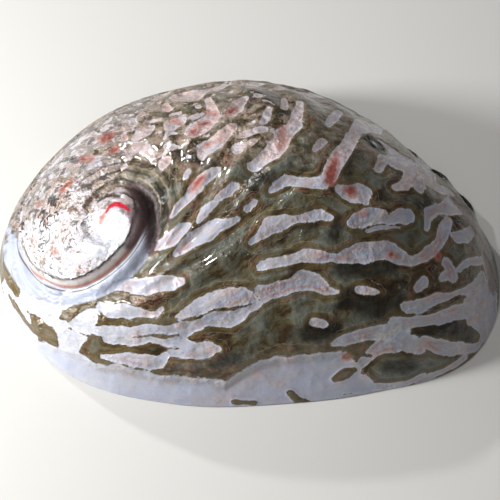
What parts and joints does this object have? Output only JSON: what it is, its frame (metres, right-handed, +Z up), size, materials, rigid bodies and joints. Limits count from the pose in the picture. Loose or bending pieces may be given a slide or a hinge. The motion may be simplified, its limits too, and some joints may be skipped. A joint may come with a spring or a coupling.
{
  "type": "abalone shell",
  "caption": "Polished abalone shell: low ear-shaped dome with a flattened spire, a row of open pores, a hollow nacre underside and a flat ground rim to rest on.",
  "frame": {"origin": "middle of the outline, on the plane that the rim rests on", "axes": "+X along the shell's length away from the spire, +Y towards the side with the pores, +Z up from the rim"},
  "size_m": [0.1666, 0.1238, 0.0474],
  "materials": {
    "nacre": "polished mother of pearl with pale streaks over olive and grey-green layers"
  },
  "bodies": {
    "root": {"shell": "nacre"}
  },
  "joints": []
}
